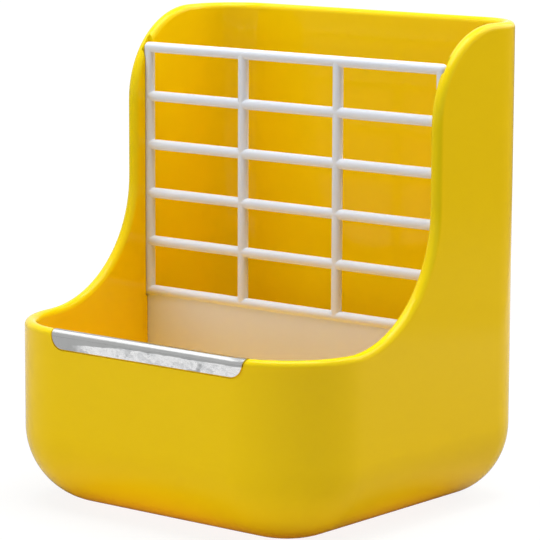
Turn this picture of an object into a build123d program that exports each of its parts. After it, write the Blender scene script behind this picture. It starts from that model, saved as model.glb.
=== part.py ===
from build123d import *
import os

# Hay feeder box for a small-animal cage: a deep tub with a food tray in front and a hay bin behind a
# white lift-out grille, a folded steel guard on the chewing edge, and two plastic bolts with wing nuts
# that clamp the back wall to the cage. Millimetres. X is left to right, Y front to back, Z up. The
# origin is the centre of the footprint, on the plane that the feeder stands on.

# ---- box ---------------------------------------------------------------------------------------
width = 157.6
depth = 147.0
height = 189.6
wall = 5.0
front_corner_radius = 35.5      # upright front corners
rear_corner_radius = 23.6       # edge round the back face
bottom_radius = 30.8            # floor to front and side walls
lip_height = 72.8               # top of the tray's front lip
tray_depth = 82.1               # front face to the upright edge of the side wings
sweep_radius = 49.2             # hollow curve from the lip up to the wing
shoulder_radius = 37.0          # round shoulder of the wing
rim_flat = 0.2                  # what the full-round rim leaves flat

# ---- grille ------------------------------------------------------------------------------------
grille_setback = 90.5           # front face to the middle plane of the grille
grille_drop = 15.8              # top of the box down to the middle of the top bar
bar_diameter = 4.2
bar_pitch = 19.9
upright_count = 2
upright_spacing = 47.7
panel_height = 73.6             # up to the middle of the bead on the solid panel
panel_thickness = 2.2
groove_depth = 2.1              # guide groove in the side walls and the floor
running_clearance = 0.3
corner_relief = 1.0             # extra rounding of the panel's lower corners

# ---- lip guard ---------------------------------------------------------------------------------
guard_length = 95.0             # at its widest, along the lip
guard_offset = 3.2              # the guard sits this far to the right of the middle
guard_thickness = 0.8
guard_proud = 0.15              # how far it stands out of its recess
guard_drop = 7.0                # lip top down to the guard's lower edge
guard_end_slope = 1.5           # how much each end leans in over that drop
guard_corner_radius = 5.0
guard_gap = 0.6

# ---- cage fixings ------------------------------------------------------------------------------
bolt_spacing = 70.0
bolt_height = 52.0
bolt_diameter = 8.0
bolt_tip_chamfer = 0.8
neck_clearance = 0.1
head_diameter = 18.0
head_thickness = 3.5
head_round = 2.4
washer_diameter = 28.0
washer_thickness = 3.0
washer_edge_round = 0.8
washer_clearance = 0.3
nut_height = 8.0
nut_hub_diameter = 15.0
nut_hub_top_diameter = 12.5
nut_wing_reach = 17.0
nut_wing_thickness = 3.6
nut_wing_rise = 4.0             # wing tips above the hub's outer end
nut_wing_foot = 1.2             # wings start this far above the washer
nut_wing_lobe_radius = 4.5      # outer corners of a wing
nut_wing_root_radius = 2.5      # inner corner of a wing's tip
nut_wing_root_gap = 1.0         # between the hub's outer end and the wing's tip
nut_wing_edge_round = 1.1
thread_clearance = 0.05
clamp_travel = 10.0             # thickest cage wire that the bolts still clamp
bolt_spare_end = 0.5

# ---- places that follow from the sizes above -------------------------------------------------------
front_y = -depth / 2
rear_y = depth / 2
inner_half_width = width / 2 - wall
wing_edge_y = front_y + tray_depth
grille_y = front_y + grille_setback
top_bar_z = height - grille_drop
bar_radius = bar_diameter / 2
rim_radius = (wall - rim_flat) / 2
groove_half_width = inner_half_width + groove_depth
groove_floor_z = wall - groove_depth
grille_half_width = groove_half_width - running_clearance
rail_x = grille_half_width - bar_radius
guard_recess = guard_thickness - guard_proud
lip_band_height = 3 * guard_drop  # wall below the lip's top that the guard is cut from
overshoot = 2 * wall            # how far cutting bodies run past what they cut
longest_cross_edge = 1.5 * wall  # longer edges of the cut shell run along the rim
on_line_tolerance = 0.01


def rounded_block(skin, top):
    """Solid form of the box, with every wall moved in by `skin`, up to the height `top`."""
    block_depth = depth - 2 * skin
    block_height = top - skin
    block = Pos(0, 0, skin + block_height / 2) * Box(width - 2 * skin, block_depth, block_height)
    front_uprights = block.edges().filter_by(Axis.Z).group_by(Axis.Y)[0]
    block = fillet(front_uprights, front_corner_radius - skin)
    floor_edges = block.faces().sort_by(Axis.Z)[0].edges().sort_by(Axis.Y)[:-1]
    block = fillet(floor_edges, bottom_radius - skin)
    back_edges = block.faces().sort_by(Axis.Y)[-1].edges().sort_by(Axis.Z)[:-1]
    return fillet(back_edges, rear_corner_radius - skin)


def rim_line():
    """Side outline of the rim, from the front lip over the wings to the back, in the plane X = 0."""
    sweep_top = lip_height + sweep_radius
    shoulder_base = height - shoulder_radius
    sweep_middle = (wing_edge_y - sweep_radius, sweep_top)
    shoulder_middle = (wing_edge_y + shoulder_radius, shoulder_base)
    line = Line((front_y - overshoot, lip_height), (sweep_middle[0], lip_height))
    line += CenterArc(sweep_middle, sweep_radius, -90, 90)
    line += Line((wing_edge_y, sweep_top), (wing_edge_y, shoulder_base))
    line += CenterArc(shoulder_middle, shoulder_radius, 180, -90)
    line += Line((shoulder_middle[0], height), (rear_y + overshoot, height))
    return line


def above_rim():
    """Everything above the rim line, across the whole width."""
    top = height + overshoot
    closing = Polyline(
        (rear_y + overshoot, height), (rear_y + overshoot, top),
        (front_y - overshoot, top), (front_y - overshoot, lip_height),
    )
    area = make_face(rim_line() + closing)
    return extrude(Plane.YZ * area, width, both=True)


def round_rim(shell):
    """Rounds both edges of the rim so that its section is a half circle."""
    outline = Plane.YZ * rim_line()
    rim_edges = []
    for edge in shell.edges():
        middle = edge.position_at(0.5)
        on_outline = outline.distance_to(Vertex(0, middle.Y, middle.Z)) < on_line_tolerance
        if on_outline and edge.length > longest_cross_edge:
            rim_edges.append(edge)
    return fillet(rim_edges, rim_radius)


def plate(half_width, bottom, top, corner_radius, thickness):
    """Upright plate on the grille's plane with rounded lower corners."""
    area = Pos(0, (bottom + top) / 2) * Rectangle(2 * half_width, top - bottom)
    area = fillet(area.vertices().group_by(Axis.Y)[0], corner_radius)
    return Pos(0, grille_y, 0) * extrude(Plane.XZ * area, thickness / 2, both=True)


def guide_groove():
    """Groove for the grille: narrow round the panel, wider above it for the rails."""
    corner_radius = bottom_radius - wall + groove_depth
    narrow = plate(
        groove_half_width, groove_floor_z, height, corner_radius,
        panel_thickness + 2 * running_clearance,
    )
    rail_slot_width = bar_diameter + 2 * running_clearance
    rail_slot_foot = panel_height - bar_radius - running_clearance
    rail_slot_height = height - rail_slot_foot
    wide = Pos(0, grille_y, rail_slot_foot + rail_slot_height / 2) * Box(
        2 * groove_half_width, rail_slot_width, rail_slot_height
    )
    return narrow + wide


def bolt_places():
    """Middle of each bolt on the outer face of the back wall, its axis pointing backwards."""
    places = []
    for side in (-1, 1):
        place = Plane((side * bolt_spacing / 2, rear_y, bolt_height), x_dir=(0, 0, 1), z_dir=(0, 1, 0))
        places.append(place)
    return places


def lip_band(grow):
    """Front wall of the tray with its rounded top, grown by `grow` on every face."""
    foot = lip_height - lip_band_height
    top = lip_height + grow
    outlines = []
    for skin in (-grow, wall + grow):
        half_width = width / 2 - skin
        front = front_y + skin
        area = Pos(0, front / 2) * Rectangle(2 * half_width, -front)
        outlines.append(fillet(area.vertices().group_by(Axis.Y)[0], front_corner_radius - skin))
    band = Pos(0, 0, foot) * extrude(outlines[0] - outlines[1], top - foot)
    top_edges = band.faces().sort_by(Axis.Z)[-1].edges()
    long_edges = [edge for edge in top_edges if edge.center().Y < -wall]
    return fillet(long_edges, rim_radius + grow)


def guard_outline(gap):
    """Block that bounds the guard: a shallow trapezium seen from the front, `gap` larger all round."""
    top = lip_height + overshoot
    foot = lip_height - guard_drop - gap
    lean = guard_end_slope / guard_drop
    half_foot = guard_length / 2 - guard_end_slope + gap
    half_top = half_foot + lean * (top - foot)
    area = make_face(
        Polyline((-half_foot, foot), (half_foot, foot), (half_top, top), (-half_top, top), close=True)
    )
    area = fillet(area.vertices().group_by(Axis.Y)[0], guard_corner_radius + gap)
    block = extrude(Plane.XZ * area, wall + overshoot, both=True)
    return Pos(guard_offset, front_y, 0) * block


def make_feeder_box():
    shell = rounded_block(0, height + overshoot)
    shell -= rounded_block(wall, height + 2 * overshoot)
    shell -= above_rim()
    shell = round_rim(shell)
    shell -= guide_groove()
    shell -= guard_outline(guard_gap) - lip_band(-guard_recess)
    square = bolt_diameter + 2 * neck_clearance
    for place in bolt_places():
        shell -= place * Box(square, square, 2 * (wall + neck_clearance))
    return shell


def make_grille():
    """Round bars in one plane, over a solid panel: the outer bars run in the guide groove."""
    corner_radius = bottom_radius - wall + groove_depth + corner_relief
    grille = plate(grille_half_width, groove_floor_z, panel_height, corner_radius, panel_thickness)
    bead = Rot(0, 90, 0) * Cylinder(bar_radius, 2 * grille_half_width)
    grille += Pos(0, grille_y, panel_height) * bead
    upright_height = top_bar_z - panel_height
    upright = Cylinder(bar_radius, upright_height)
    upright_xs = [-rail_x, rail_x]
    for number in range(upright_count):
        upright_xs.append(upright_spacing * (number - (upright_count - 1) / 2))
    for x in upright_xs:
        grille += Pos(x, grille_y, panel_height + upright_height / 2) * upright
    bar = Rot(0, 90, 0) * Cylinder(bar_radius, 2 * rail_x)
    rows = round((top_bar_z - panel_height) / bar_pitch)
    for row in range(rows):
        grille += Pos(0, grille_y, top_bar_z - row * bar_pitch) * bar
    for side in (-1, 1):
        grille += Pos(side * rail_x, grille_y, top_bar_z) * Sphere(bar_radius)
    return grille


def make_lip_guard():
    return (lip_band(guard_proud) - lip_band(-guard_recess)) & guard_outline(0)


def make_bolt():
    """Carriage bolt: round head inside the bin, square neck in the wall, round shank behind it."""
    reach = washer_thickness + nut_height + clamp_travel + bolt_spare_end
    head = Pos(0, 0, -wall - head_thickness / 2) * Cylinder(head_diameter / 2, head_thickness)
    head = fillet(head.edges().group_by(Axis.Z)[0], head_round)
    neck = Pos(0, 0, -wall / 2) * Box(bolt_diameter, bolt_diameter, wall)
    shank = Pos(0, 0, reach / 2) * Cylinder(bolt_diameter / 2, reach)
    shank = chamfer(shank.edges().group_by(Axis.Z)[-1], bolt_tip_chamfer)
    return head + neck + shank


def make_washer():
    bore_radius = bolt_diameter / 2 + washer_clearance
    disc = Cylinder(washer_diameter / 2, washer_thickness)
    disc = fillet(disc.edges(), washer_edge_round)
    return Pos(0, 0, washer_thickness / 2) * (disc - Cylinder(bore_radius, washer_thickness))


def make_wing_nut():
    """Tapered hub with two upright wings, standing on the washer."""
    hub_radius = nut_hub_diameter / 2
    hub_top_radius = nut_hub_top_diameter / 2
    hub = Pos(0, 0, nut_height / 2) * Cone(hub_radius, hub_top_radius, nut_height)
    tip_z = nut_height + nut_wing_rise
    tip_inner_x = hub_top_radius + nut_wing_root_gap
    outline = Polyline(
        (0, nut_wing_foot), (hub_radius, nut_wing_foot), (nut_wing_reach, nut_height / 2),
        (nut_wing_reach, tip_z), (tip_inner_x, tip_z), (hub_top_radius, nut_height), (0, nut_height),
        close=True,
    )
    area = make_face(outline)
    area = fillet(area.vertices().group_by(Axis.X)[-1], nut_wing_lobe_radius)
    area = fillet(area.vertices().group_by(Axis.Y)[-1].sort_by(Axis.X)[0], nut_wing_root_radius)
    wing = extrude(Plane.XZ * area, nut_wing_thickness / 2, both=True)
    side_faces = wing.faces().sort_by(Axis.Y)
    side_edges = side_faces[0].edges() + side_faces[-1].edges()
    wing = fillet(side_edges, nut_wing_edge_round)
    nut = hub + wing + Rot(0, 0, 180) * wing
    bore_radius = bolt_diameter / 2 + thread_clearance
    bore_height = 2 * (nut_height + nut_wing_rise)
    return nut - Cylinder(bore_radius, bore_height)


parts = {
    "feeder_box": make_feeder_box(),
    "grille": make_grille(),
    "lip_guard": make_lip_guard(),
}
bolts = []
for side_name, place in zip(("left", "right"), bolt_places()):
    bolts.append(place * make_bolt())
    parts["clamp_washer_" + side_name] = place * make_washer()
    parts["wing_nut_" + side_name] = place * Pos(0, 0, washer_thickness) * make_wing_nut()
parts["cage_bolts"] = Compound(children=bolts)

os.makedirs("parts", exist_ok=True)
for name, shape in parts.items():
    export_step(shape, "parts/" + name + ".step")
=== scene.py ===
import math

import bmesh
import bpy
from mathutils import Matrix, Vector


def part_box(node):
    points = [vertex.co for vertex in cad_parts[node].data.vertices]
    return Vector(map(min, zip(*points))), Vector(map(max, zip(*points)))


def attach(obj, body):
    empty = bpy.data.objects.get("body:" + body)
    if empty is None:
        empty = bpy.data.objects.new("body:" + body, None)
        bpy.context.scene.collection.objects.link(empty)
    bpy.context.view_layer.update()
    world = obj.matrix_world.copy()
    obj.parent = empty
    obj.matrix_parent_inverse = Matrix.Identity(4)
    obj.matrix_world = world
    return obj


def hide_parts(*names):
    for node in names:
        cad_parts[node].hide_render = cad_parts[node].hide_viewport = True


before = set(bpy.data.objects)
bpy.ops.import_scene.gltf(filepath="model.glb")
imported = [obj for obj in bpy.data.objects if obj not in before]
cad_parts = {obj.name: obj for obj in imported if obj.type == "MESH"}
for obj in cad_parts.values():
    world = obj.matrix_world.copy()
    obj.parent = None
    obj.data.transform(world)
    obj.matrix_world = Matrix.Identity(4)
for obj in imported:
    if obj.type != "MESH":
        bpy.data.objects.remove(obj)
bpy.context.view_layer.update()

MM = 0.001


# ---- shader building -----------------------------------------------------------------------------
class Socket:
    """A shader socket that takes part in arithmetic: an expression adds the Math nodes that it needs."""

    def __init__(self, shader, socket):
        self.shader = shader
        self.socket = socket

    def _math(self, operation, first, second):
        return self.shader.node("ShaderNodeMath", {"operation": operation}, {0: first, 1: second})

    def __add__(self, other):
        return self._math("ADD", self, other)

    def __sub__(self, other):
        return self._math("SUBTRACT", self, other)

    def __rsub__(self, other):
        return self._math("SUBTRACT", other, self)

    def __mul__(self, other):
        return self._math("MULTIPLY", self, other)

    def __truediv__(self, other):
        return self._math("DIVIDE", self, other)

    def __pow__(self, other):
        return self._math("POWER", self, other)


class Shader:
    """Node tree of a material or of the world."""

    def __init__(self, owner):
        owner.use_nodes = True
        self.tree = owner.node_tree
        self.tree.nodes.clear()

    def node(self, kind, settings=None, inputs=None, output=0):
        """Adds a node: its settings first, then the values or links of its sockets."""
        node = self.tree.nodes.new(kind)
        for name, value in (settings or {}).items():
            if name == "stops":
                self._set_stops(node.color_ramp, value)
            else:
                setattr(node, name, value)
        for name, value in (inputs or {}).items():
            if isinstance(value, Socket):
                self.tree.links.new(value.socket, node.inputs[name])
            else:
                node.inputs[name].default_value = value
        if len(node.outputs) == 0:
            return None
        return Socket(self, node.outputs[output])

    def _set_stops(self, ramp, stops):
        while len(ramp.elements) < len(stops):
            ramp.elements.new(1.0)
        for element, (position, colour) in zip(ramp.elements, stops):
            element.position = position
            element.color = colour

    def place(self):
        """Position on the piece, in metres."""
        return self.node("ShaderNodeTexCoord", output="Object")

    def axis(self, place, name):
        """One of the coordinates X, Y and Z of a position."""
        return self.node("ShaderNodeSeparateXYZ", {}, {"Vector": place}, name)

    def noise(self, size, detail=2.0, roughness=0.5, place=None):
        """Smooth noise with lumps of about `size` metres, from 0 to 1."""
        where = place or self.place()
        sockets = {"Vector": where, "Scale": 1 / size, "Detail": detail, "Roughness": roughness}
        return self.node("ShaderNodeTexNoise", {}, sockets, "Fac")

    def ramp(self, value, *stops):
        """Colour at each value: a stop is a position from 0 to 1 and the colour there."""
        return self.node("ShaderNodeValToRGB", {"stops": stops}, {"Fac": value}, "Color")

    def spread(self, value, low, high):
        """Maps 0..1 to low..high."""
        return value * (high - low) + low

    def positive(self, value):
        """The value, or 0 where it is below 0."""
        return self.node("ShaderNodeMath", {"operation": "MAXIMUM"}, {0: value, 1: 0.0})

    def blend(self, factor, first, second):
        """Mixes two colours. A Mix node keeps its colour sockets at 6 and 7 and gives its colour at 2."""
        return self.node("ShaderNodeMix", {"data_type": "RGBA"}, {0: factor, 6: first, 7: second}, 2)

    def layer(self, factor, under, over):
        """Mixes two surfaces; None is a black one."""
        sockets = {0: factor, 2: over}
        if under is not None:
            sockets[1] = under
        return self.node("ShaderNodeMixShader", {}, sockets)

    def bump(self, height, distance):
        return self.node("ShaderNodeBump", {}, {"Height": height, "Distance": distance}, "Normal")

    def principled(self, sockets):
        self.surface(self.node("ShaderNodeBsdfPrincipled", {}, sockets))

    def surface(self, shader):
        self.node("ShaderNodeOutputMaterial", {}, {"Surface": shader})


def material(name):
    made = bpy.data.materials.new(name)
    return made, Shader(made)


def grey(value):
    return (value, value, value, 1.0)


BLACK, WHITE = grey(0.0), grey(1.0)


def rgb(red, green, blue):
    """Linear colour from the 0..255 values of a colour picker."""
    channels = []
    for value in (red, green, blue):
        share = value / 255
        channels.append(share / 12.92 if share <= 0.04045 else ((share + 0.055) / 1.055) ** 2.4)
    return (*channels, 1.0)


# ---- materials -----------------------------------------------------------------------------------
LIP_HEIGHT = 72.8 * MM
WING_EDGE_Y = 8.6 * MM
SWEEP_RADIUS = 49.2 * MM
SHOULDER_RADIUS = 37.0 * MM
RIM_WIDTH = 2.6 * MM             # from the rim down to where its greener yellow has faded out
BODY_YELLOWS = rgb(253, 209, 5), rgb(255, 212, 7)
# Greener yellow of the rim: a painted highlight, the lemon look of the lit rim.
RIM_HIGHLIGHT_YELLOW = rgb(242, 212, 8)
GRILLE_WHITES = rgb(226, 229, 238), rgb(231, 234, 243)
NYLON_WHITES = rgb(226, 226, 222), rgb(234, 234, 231)


def depth_below_rim(shader):
    """Distance from the rim down into the wall, for a rim of lip, sweep, wing edge, shoulder and top."""
    place = shader.place()
    y = shader.axis(place, "Y")
    z = shader.axis(place, "Z")
    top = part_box("feeder_box")[1][2]
    past_sweep_middle = shader.positive(y - (WING_EDGE_Y - SWEEP_RADIUS))
    below_sweep_middle = shader.positive(LIP_HEIGHT + SWEEP_RADIUS - z)
    below_sweep = (past_sweep_middle ** 2 + below_sweep_middle ** 2) ** 0.5 - SWEEP_RADIUS
    before_shoulder_middle = shader.positive(WING_EDGE_Y + SHOULDER_RADIUS - y)
    above_shoulder_middle = shader.positive(z - (top - SHOULDER_RADIUS))
    below_shoulder = SHOULDER_RADIUS - (before_shoulder_middle ** 2 + above_shoulder_middle ** 2) ** 0.5
    return below_sweep + below_shoulder - (y - WING_EDGE_Y)


def yellow_plastic():
    """Glossy yellow moulding with faint flow marks, a polished mould's slight waviness and a greener rim,
    which is a painted highlight.
    """
    made, shader = material("yellow_plastic")
    flow = shader.noise(60 * MM, 3.0)
    # The rim's greener yellow is a painted highlight, full at the rim and faded out within RIM_WIDTH.
    rim = shader.ramp(depth_below_rim(shader) / RIM_WIDTH, (0.3, WHITE), (1.0, BLACK))
    grain = shader.noise(1.2 * MM)
    waviness = shader.noise(18 * MM, 1.0)
    shader.principled({
        "Base Color": shader.blend(rim, shader.blend(flow, *BODY_YELLOWS), RIM_HIGHLIGHT_YELLOW),
        "Roughness": shader.spread(flow, 0.07, 0.10),
        "Specular IOR Level": 0.12,
        "Normal": shader.bump(waviness * 0.9 + grain * 0.03, 0.05 * MM),
    })
    return made


def white_plastic():
    """Satin white moulding."""
    made, shader = material("white_plastic")
    flow = shader.noise(40 * MM)
    shader.principled({
        "Base Color": shader.blend(flow, *GRILLE_WHITES),
        "Roughness": shader.spread(flow, 0.36, 0.42),
        "Specular IOR Level": 0.3,
        "Normal": shader.bump(shader.noise(0.8 * MM), 0.01 * MM),
    })
    return made


GUARD_FADE_START = 42.0 * MM     # how far left of the middle the changes along the guard start
ROLL_FOOT_AT_LEFT = 67.6 * MM    # height of the line where the smooth roll meets the hammered flap
ROLL_FOOT_RISE = 2.4 * MM        # the line climbs by this much to the right,
ROLL_FOOT_RUN = 36.0 * MM        # over this length, and is level from there on
ROLL_FOOT_BLUR = 1.0 * MM
SMOOTH_END_LENGTH = 26.0 * MM    # the hammering comes in within this length from the left
DENT_SIZE = 3.8 * MM
BLOW_SIZE = 2.8 * MM
DRAWN_OUT = (0.6, 1.0, 1.0)      # makes dents longer along the guard than across it
ROLL_GREYS = rgb(175, 176, 175), rgb(187, 188, 187)
# Near-white flap greys, far paler than the roll's steel, paint the flap's bright glints.
FLAP_GLINT_GREYS = rgb(234, 235, 236), rgb(254, 254, 254)
# Darker grey in the flap's pits: painted shade.
PIT_SHADE_GREY = rgb(132, 134, 136)
PIT_SHADE_SHARE = 0.6
# Darker grey along the crease between roll and flap: painted shade.
CREASE_SHADE_GREY = rgb(110, 112, 114)
CREASE_SHADE_SHARE = 0.85
ROLL_ROUGHNESS = 0.23
FLAP_POLISH = 0.10               # the flap between its dents is less rough than the roll by this
DENT_ROUGHNESS = 0.16


def bright_steel():
    """Bright folded sheet: its roll is smooth, its front flap is hammered flat and dented. The flap's
    near-white colour and lighter dent tops are painted highlights, and its pits and crease carry painted
    shade.
    """
    made, shader = material("bright_steel")
    place = shader.place()
    from_left = shader.axis(place, "X") + GUARD_FADE_START
    height = shader.axis(place, "Z")
    straggle = shader.noise(9 * MM, 3.0, 0.6, place)
    climb = shader.ramp(from_left / ROLL_FOOT_RUN, (0.0, BLACK), (1.0, WHITE))
    roll_foot = climb * ROLL_FOOT_RISE + ROLL_FOOT_AT_LEFT
    drop = (roll_foot - height) / ROLL_FOOT_BLUR + straggle * 0.6
    below_roll = shader.ramp(drop, (0.28, BLACK), (0.5, WHITE))
    past_smooth_end = from_left / SMOOTH_END_LENGTH + (straggle - 0.5) * 1.2
    off_left_end = shader.ramp(past_smooth_end, (0.2, BLACK), (0.9, WHITE))
    hammered = below_roll * off_left_end

    drawn_out = shader.node("ShaderNodeVectorMath", {"operation": "MULTIPLY"}, {0: place, 1: DRAWN_OUT})
    dents = shader.noise(DENT_SIZE, 3.0, 0.6, drawn_out)
    blows = shader.noise(BLOW_SIZE, 1.5, 0.5, drawn_out)
    pit_relief_and_shade = shader.ramp(blows, (0.60, BLACK), (0.74, WHITE))
    # Painted shade in dark flecks along the crease where the roll meets the flap.
    # The first three factors peak at 1, halfway from the roll to the flap.
    painted_crease_shade = below_roll * (1 - below_roll) * 4 * shader.ramp(blows, (0.46, BLACK), (0.58, WHITE))

    roll = shader.blend(straggle, *ROLL_GREYS)
    # Dent tops are coloured lighter: painted glints.
    flap = shader.blend(shader.ramp(dents, (0.42, BLACK), (0.54, WHITE)), *FLAP_GLINT_GREYS)
    # Painted shade: the pits are coloured darker, while their relief also goes into the bump.
    flap = shader.blend(pit_relief_and_shade * PIT_SHADE_SHARE, flap, PIT_SHADE_GREY)
    sheet = shader.blend(hammered, roll, flap)
    shader.principled({
        "Base Color": shader.blend(painted_crease_shade * off_left_end * CREASE_SHADE_SHARE, sheet, CREASE_SHADE_GREY),
        "Metallic": 1.0,
        "Roughness": hammered * (dents * DENT_ROUGHNESS - FLAP_POLISH) + ROLL_ROUGHNESS,
        "Normal": shader.bump(hammered * (dents - 0.5 - pit_relief_and_shade * 0.3) + straggle * 0.15, 0.4 * MM),
    })
    return made


def nylon():
    """White nylon of the fixings."""
    made, shader = material("white_nylon")
    flow = shader.noise(9 * MM)
    shader.principled({
        "Base Color": shader.blend(flow, *NYLON_WHITES),
        "Roughness": shader.spread(flow, 0.36, 0.46),
        "Normal": shader.bump(shader.noise(0.7 * MM), 0.01 * MM),
    })
    return made


# ---- cage bolts ----------------------------------------------------------------------------------
BOLT_XS = (-35.0 * MM, 35.0 * MM)
BOLT_HEIGHT = 52.0 * MM
BACK_FACE_Y = 73.5 * MM
BOLT_TIP_Y = 95.0 * MM
WALL = 5.0 * MM
HEAD_RADIUS = 9.0 * MM
HEAD_THICKNESS = 3.5 * MM
HEAD_ROUND = 2.4 * MM
HEAD_ROUND_STEPS = 8
CROWN_RADIUS = 0.35 * HEAD_RADIUS
NECK_HALF_WIDTH = 4.0 * MM
SHANK_RADIUS = 4.0 * MM
TIP_CHAMFER = 0.8 * MM
THREAD_PITCH = 2.5 * MM
THREAD_START_GAP = 0.01 * MM     # from the back face to the cut where the thread starts
SIDES = 72
SHARP_ANGLE = math.radians(35)
MERGE_DISTANCE = 0.001 * MM
# One turn of the thread from foot to foot: share of the pitch, and depth below the crest.
THREAD_PROFILE = (
    (0.00, 0.88 * MM), (0.10, 0.88 * MM), (0.16, 0.80 * MM), (0.42, 0.10 * MM), (0.47, 0.0),
    (0.63, 0.0), (0.68, 0.10 * MM), (0.94, 0.80 * MM),
)


def square_radius(angle):
    """Distance from the axis to the side of the square neck."""
    return NECK_HALF_WIDTH / max(abs(math.sin(angle)), abs(math.cos(angle)))


def ring_point(radius, angle, y):
    """Point around a bolt's axis, which runs along Y."""
    return (radius * math.sin(angle), y, radius * math.cos(angle))


def add_head(mesh):
    """Low round head and square neck, open at the back face of the wall."""
    angles = [2 * math.pi * side / SIDES for side in range(SIDES)]
    inner_face = BACK_FACE_Y - WALL
    outline = [(CROWN_RADIUS, inner_face - HEAD_THICKNESS)]
    for step in range(HEAD_ROUND_STEPS + 1):
        turn = math.pi / 2 * step / HEAD_ROUND_STEPS
        radius = HEAD_RADIUS - HEAD_ROUND * (1 - math.sin(turn))
        outline.append((radius, inner_face - HEAD_THICKNESS + HEAD_ROUND * (1 - math.cos(turn))))
    outline.append((HEAD_RADIUS, inner_face))

    rings = []
    for radius, y in outline:
        rings.append([mesh.verts.new(ring_point(radius, angle, y)) for angle in angles])
    for y in (inner_face, BACK_FACE_Y):
        rings.append([mesh.verts.new(ring_point(square_radius(angle), angle, y)) for angle in angles])
    mesh.faces.new(rings[0])
    for near, far in zip(rings, rings[1:]):
        for side in range(SIDES):
            after = (side + 1) % SIDES
            mesh.faces.new((near[side], near[after], far[after], far[side]))


def thread_point(turn, share, depth):
    """Point of the right-hand thread, `turn` turns along from the back face of the wall."""
    y = BACK_FACE_Y + (turn + share) * THREAD_PITCH
    chamfered = SHANK_RADIUS - TIP_CHAMFER + max(BOLT_TIP_Y - y, 0)
    return ring_point(min(SHANK_RADIUS - depth, chamfered), 2 * math.pi * turn, y)


def add_shank(mesh):
    """Threaded shank, cut square at the wall and at the tip, with the tip closed."""
    turns = math.ceil((BOLT_TIP_Y - BACK_FACE_Y) / THREAD_PITCH) + 1
    columns = []
    for step in range(-SIDES, turns * SIDES + 1):
        columns.append([mesh.verts.new(thread_point(step / SIDES, *point)) for point in THREAD_PROFILE])
    faces = []
    for step in range(len(columns) - 1):
        near, far = list(columns[step]), list(columns[step + 1])
        if step + SIDES + 1 < len(columns):
            near.append(columns[step + SIDES][0])
            far.append(columns[step + SIDES + 1][0])
        for low in range(len(near) - 1):
            faces.append(mesh.faces.new((near[low], far[low], far[low + 1], near[low + 1])))

    shank = faces + list(dict.fromkeys(vert for face in faces for vert in face.verts))
    shank += list(dict.fromkeys(edge for face in faces for edge in face.edges))
    for y, outward in ((BACK_FACE_Y + THREAD_START_GAP, -1), (BOLT_TIP_Y, 1)):
        cut = bmesh.ops.bisect_plane(
            mesh, geom=shank, plane_co=(0, y, 0), plane_no=(0, outward, 0), clear_outer=True
        )
        shank = [item for item in cut["geom"] if item.is_valid]
    tip_rim = [item for item in cut["geom_cut"] if isinstance(item, bmesh.types.BMEdge)]
    bmesh.ops.contextual_create(mesh, geom=tip_rim)


def make_bolts():
    """Pair of carriage bolts through the back wall, each one closed surface."""
    fixings = nylon()
    for side, x in zip(("left", "right"), BOLT_XS):
        mesh = bmesh.new()
        add_head(mesh)
        add_shank(mesh)
        seam = [edge for edge in mesh.edges if edge.is_boundary]
        bmesh.ops.bridge_loops(mesh, edges=seam)
        bmesh.ops.dissolve_degenerate(mesh, edges=mesh.edges, dist=MERGE_DISTANCE)
        bmesh.ops.recalc_face_normals(mesh, faces=mesh.faces)
        bmesh.ops.translate(mesh, verts=mesh.verts, vec=(x, 0, BOLT_HEIGHT))
        data = bpy.data.meshes.new("cage_bolt_" + side)
        mesh.to_mesh(data)
        mesh.free()
        data.set_sharp_from_angle(angle=SHARP_ANGLE)
        data.materials.append(fixings)
        bolt = bpy.data.objects.new("cage_bolt_" + side, data)
        bpy.context.scene.collection.objects.link(bolt)
        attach(bolt, "feeder")
        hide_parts("cage_bolts")


# ---- finishes on the nodes -----------------------------------------------------------------------
def dress(node_name, made):
    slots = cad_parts[node_name].data.materials
    slots.clear()
    slots.append(made)


def dress_nodes():
    fixings = nylon()
    dress("feeder_box", yellow_plastic())
    dress("grille", white_plastic())
    dress("lip_guard", bright_steel())
    for side in ("left", "right"):
        dress("clamp_washer_" + side, fixings)
        dress("wing_nut_" + side, fixings)


# ---- stage ---------------------------------------------------------------------------------------
FLOOR_HALF_SIZE = 12.0
FLOOR_GREY = grey(0.6)
FLOOR_GLOW = 1.1
GLOW_SEEN_NEAR, GLOW_SEEN_FAR = 0.8, 0.96
# The warm glow round the base is painted bounce light: the floor glows there though it is no lamp.
WARM_COLOUR = (1.0, 0.45, 0.08, 1.0)
WARM_GLOW = 0.45
# Stops by metres from the middle of the feeder's foot.
SEEN_FAR = (0.22, BLACK), (0.5, WHITE)
WARM_BOUNCE_GLOW_STRIP = (0.068, WHITE), (0.084, grey(0.3)), (0.12, BLACK)
# What gloss sees of the floor is a painted reflection: its glow is nearly dark under the base, a painted
# shadow.
MIRRORED = (0.077, grey(0.03)), (0.096, grey(0.46)), (0.6, grey(0.95)), (0.95, grey(0.4))
# Stops by metres to the right plus metres to the back.
# Painted reflection: the mirrored glow is greyer to the back right.
MIRRORED_BACK_RIGHT = (0.60, WHITE), (0.70, grey(0.45))

# Stops by the upward part of the direction.
WALL_TOP = (0.06, WHITE), (0.16, BLACK)
WALL_LIGHT, WALL_SEEN = 0.5, 1.0
CEILING_LIGHT, CEILING_SEEN = 0.03, 0.85

LAMP_TARGET = Vector((0, 0, 90 * MM))
LAMP_DISTANCE = 1.2
FRONT_LAMP_COLOUR = (0.93, 1.0, 1.0)

CAMERA_PLACE = (729.7 * MM, -891.6 * MM, 279.3 * MM)
CAMERA_YAW = 0.6830              # radians, as are the next two
CAMERA_PITCH_DOWN = 0.1617
CAMERA_ROLL = 0.0039
CAMERA_LENS = 198.38
SENSOR_WIDTH = 36.0
PICTURE_SIZE = 540
HALF_PIXEL = 0.5 / PICTURE_SIZE  # as a share of the picture's width


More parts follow.
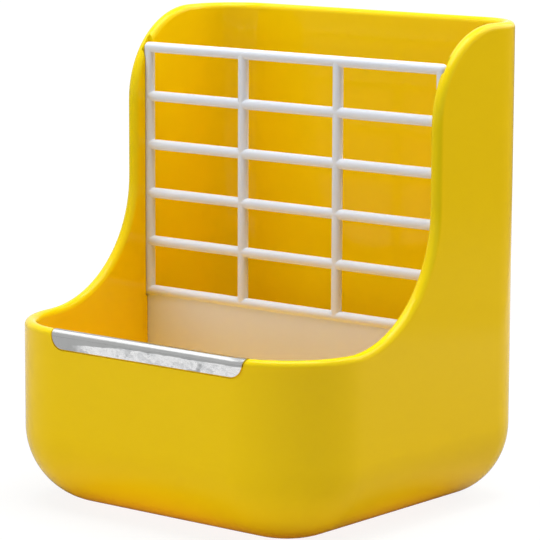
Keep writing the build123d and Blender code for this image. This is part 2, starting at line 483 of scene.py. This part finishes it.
def sight_rays(shader):
    """Camera rays, and the glossy and transmission rays that carry what a surface mirrors."""
    camera_ray = shader.node("ShaderNodeLightPath", output="Is Camera Ray")
    glossy_ray = shader.node("ShaderNodeLightPath", output="Is Glossy Ray")
    transmission_ray = shader.node("ShaderNodeLightPath", output="Is Transmission Ray")
    return camera_ray, glossy_ray + transmission_ray


def white_floor():
    """White floor that glows for the camera; close to the feeder its own shadows show through.

    Gloss mirrors a painted reflection of it: dark under the base as a painted shadow, bright around it,
    greyer far off and greyest to the back right. A strip close round the base glows warm for diffuse rays,
    painted bounce light like that which yellow plastic throws onto a white floor.
    """
    made, shader = material("white_floor")
    spot = shader.place()
    distance = shader.node("ShaderNodeVectorMath", {"operation": "LENGTH"}, {0: spot}, "Value")
    seen_far = shader.ramp(distance, *SEEN_FAR)
    warm_bounce_glow_strip = shader.ramp(distance, *WARM_BOUNCE_GLOW_STRIP)
    to_back_right = shader.axis(spot, "X") + shader.axis(spot, "Y")
    mirrored = shader.ramp(distance, *MIRRORED) * shader.ramp(to_back_right, *MIRRORED_BACK_RIGHT)

    matt = shader.node("ShaderNodeBsdfDiffuse", {}, {"Color": FLOOR_GREY})
    glow = shader.node("ShaderNodeEmission", {}, {"Color": WHITE, "Strength": FLOOR_GLOW})
    warm_glow = shader.node("ShaderNodeEmission", {}, {"Color": WARM_COLOUR, "Strength": WARM_GLOW})
    warm_floor = shader.node("ShaderNodeAddShader", {}, {0: matt, 1: warm_glow})
    camera_ray, mirror_ray = sight_rays(shader)
    diffuse_ray = shader.node("ShaderNodeLightPath", output="Is Diffuse Ray")
    surface = shader.layer(camera_ray * shader.spread(seen_far, GLOW_SEEN_NEAR, GLOW_SEEN_FAR), matt, glow)
    # Painted bounce light: diffuse rays find the strip round the base glowing warm.
    surface = shader.layer(diffuse_ray * warm_bounce_glow_strip, surface, warm_floor)
    # Glossy rays see the painted reflection glow, dark under the base as a painted shadow.
    surface = shader.layer(mirror_ray, surface, shader.layer(mirrored, None, glow))
    shader.surface(surface)
    return made


def make_floor():
    mesh = bpy.data.meshes.new("floor")
    s = FLOOR_HALF_SIZE
    mesh.from_pydata([(-s, -s, 0), (s, -s, 0), (s, s, 0), (-s, s, 0)], [], [(0, 1, 2, 3)])
    mesh.materials.append(white_floor())
    floor = bpy.data.objects.new("floor", mesh)
    bpy.context.scene.collection.objects.link(floor)


def make_world():
    """White wall behind the floor's edge under a grey ceiling; little of it lights the object."""
    world = bpy.data.worlds.new("studio")
    bpy.context.scene.world = world
    shader = Shader(world)
    direction = shader.node("ShaderNodeTexCoord", output="Generated")
    wall = shader.ramp(shader.axis(direction, "Z"), *WALL_TOP)
    camera_ray, mirror_ray = sight_rays(shader)
    seen = camera_ray + mirror_ray
    wall_strength = shader.spread(seen, WALL_LIGHT, WALL_SEEN)
    ceiling_strength = shader.spread(seen, CEILING_LIGHT, CEILING_SEEN)
    strength = wall * wall_strength + (1 - wall) * ceiling_strength
    background = shader.node("ShaderNodeBackground", {}, {"Color": WHITE, "Strength": strength})
    shader.node("ShaderNodeOutputWorld", {}, {"Surface": background})


def softbox(name, azimuth, elevation, width, height, power):
    """Area lamp aimed at the middle of the feeder. Azimuth 0 is in front, 90 to the right."""
    lamp = bpy.data.lights.new(name, "AREA")
    lamp.shape = "RECTANGLE"
    lamp.size = width
    lamp.size_y = height
    lamp.energy = power
    around = math.radians(azimuth)
    above = math.radians(elevation)
    back = Vector((math.sin(around) * math.cos(above), -math.cos(around) * math.cos(above), math.sin(above)))
    holder = bpy.data.objects.new(name, lamp)
    bpy.context.scene.collection.objects.link(holder)
    holder.location = LAMP_TARGET + back * LAMP_DISTANCE
    holder.rotation_euler = (-back).to_track_quat("-Z", "Y").to_euler()
    return holder


def make_lamps():
    softbox("top_softbox", azimuth=0, elevation=86, width=0.9, height=0.9, power=15.0)
    front = softbox("front_softbox", azimuth=-23, elevation=9, width=0.9, height=0.5, power=3.6)
    front.data.color = FRONT_LAMP_COLOUR
    front.visible_glossy = False
    softbox("left_softbox", azimuth=-78, elevation=48, width=1.3, height=0.32, power=2.15)
    softbox("right_softbox", azimuth=120, elevation=65, width=0.9, height=0.9, power=6.3)
    softbox("back_softbox", azimuth=160, elevation=35, width=0.9, height=0.9, power=6.0)


def make_camera():
    """Camera in front, to the right and a little above the rim."""
    camera = bpy.data.cameras.new("camera")
    camera.sensor_width = SENSOR_WIDTH
    camera.lens = CAMERA_LENS
    camera.shift_x = -HALF_PIXEL
    camera.shift_y = HALF_PIXEL
    holder = bpy.data.objects.new("camera", camera)
    bpy.context.scene.collection.objects.link(holder)
    yaw = Matrix.Rotation(CAMERA_YAW, 4, "Z")
    tilt = Matrix.Rotation(math.pi / 2 - CAMERA_PITCH_DOWN, 4, "X")
    roll = Matrix.Rotation(CAMERA_ROLL, 4, "Z")
    holder.matrix_world = Matrix.Translation(CAMERA_PLACE) @ yaw @ tilt @ roll
    bpy.context.scene.camera = holder


dress_nodes()
make_bolts()
make_floor()
make_world()
make_lamps()
make_camera()
bpy.context.scene.view_settings.view_transform = "Standard"
